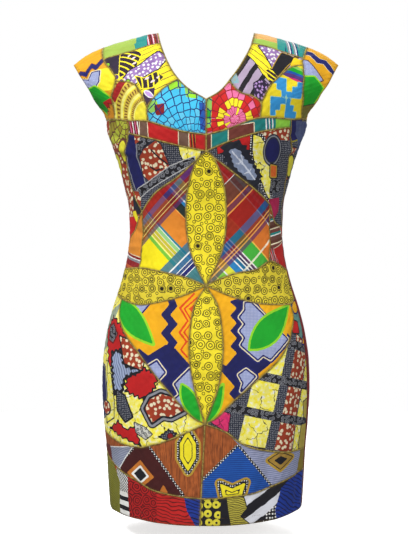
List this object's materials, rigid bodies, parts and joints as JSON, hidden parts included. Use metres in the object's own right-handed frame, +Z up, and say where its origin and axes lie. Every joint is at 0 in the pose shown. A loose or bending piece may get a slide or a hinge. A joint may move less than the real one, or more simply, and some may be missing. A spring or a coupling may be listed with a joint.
{
  "type": "shift dress",
  "caption": "Sleeveless patchwork shift dress with cap sleeves, vee neck, shaped panels and a back zip, filled out as worn and open at neck, armholes and hem.",
  "frame": {"origin": "midway between the tops of the two shoulder seams, where the wearer holds the dress up", "axes": "+Z up, the wearer faces -Y, +X at the right of someone who looks at the front"},
  "size_m": [0.4798, 0.2441, 0.872],
  "materials": {
    "yoke_left": "printed cotton",
    "yoke_right": "printed cotton",
    "cap_sleeve_left": "printed cotton",
    "cap_sleeve_right": "printed cotton",
    "bust_upper_left": "printed cotton",
    "bust_upper_right": "printed cotton",
    "bust_side_left": "printed cotton",
    "bust_side_right": "printed cotton",
    "cup_left": "printed cotton",
    "cup_right": "printed cotton",
    "under_bust_band_left": "printed cotton",
    "under_bust_band_right": "printed cotton",
    "bodice_left": "printed cotton",
    "bodice_right": "printed cotton",
    "side_panel_left": "printed cotton",
    "side_panel_right": "printed cotton",
    "kite_left": "woven madras cotton",
    "kite_right": "woven madras cotton",
    "waist_strip_left": "woven madras cotton",
    "waist_strip_right": "woven madras cotton",
    "waist_petal_left": "printed cotton",
    "waist_petal_right": "printed cotton",
    "heart_left": "printed cotton",
    "heart_right": "printed cotton",
    "hip_left": "printed cotton",
    "hip_right": "printed cotton",
    "skirt_panel_left": "printed cotton",
    "skirt_panel_right": "printed cotton",
    "hem_band_left": "printed cotton",
    "hem_band_right": "printed cotton",
    "back_left": "printed cotton",
    "back_right": "printed cotton",
    "petal_upper": "printed cotton",
    "petal_lower": "printed cotton",
    "zip_metal": "antique"
  },
  "bodies": {
    "dress": {"yoke_left": "yoke_left", "yoke_right": "yoke_right", "cap_sleeve_left": "cap_sleeve_left", "cap_sleeve_right": "cap_sleeve_right", "bust_upper_left": "bust_upper_left", "bust_upper_right": "bust_upper_right", "bust_side_left": "bust_side_left", "bust_side_right": "bust_side_right", "cup_left": "cup_left", "cup_right": "cup_right", "under_bust_band_left": "under_bust_band_left", "under_bust_band_right": "under_bust_band_right", "bodice_left": "bodice_left", "bodice_right": "bodice_right", "side_panel_left": "side_panel_left", "side_panel_right": "side_panel_right", "kite_left": "kite_left", "kite_right": "kite_right", "waist_strip_left": "waist_strip_left", "waist_strip_right": "waist_strip_right", "waist_petal_left": "waist_petal_left", "waist_petal_right": "waist_petal_right", "heart_left": "heart_left", "heart_right": "heart_right", "hip_left": "hip_left", "hip_right": "hip_right", "skirt_panel_left": "skirt_panel_left", "skirt_panel_right": "skirt_panel_right", "hem_band_left": "hem_band_left", "hem_band_right": "hem_band_right", "back_left": "back_left", "back_right": "back_right", "petal_upper": "petal_upper", "petal_lower": "petal_lower", "zip_slider": "zip_metal"},
    "pull": {"zip_pull": "zip_metal"}
  },
  "joints": [
    {"name": "zip_pull_swing", "type": "hinge", "parent": "dress", "child": "pull", "pos_m": [0, 0.09289, -0.1475], "axis": [1, 0, 0], "range_deg": [0, 165]}
  ]
}
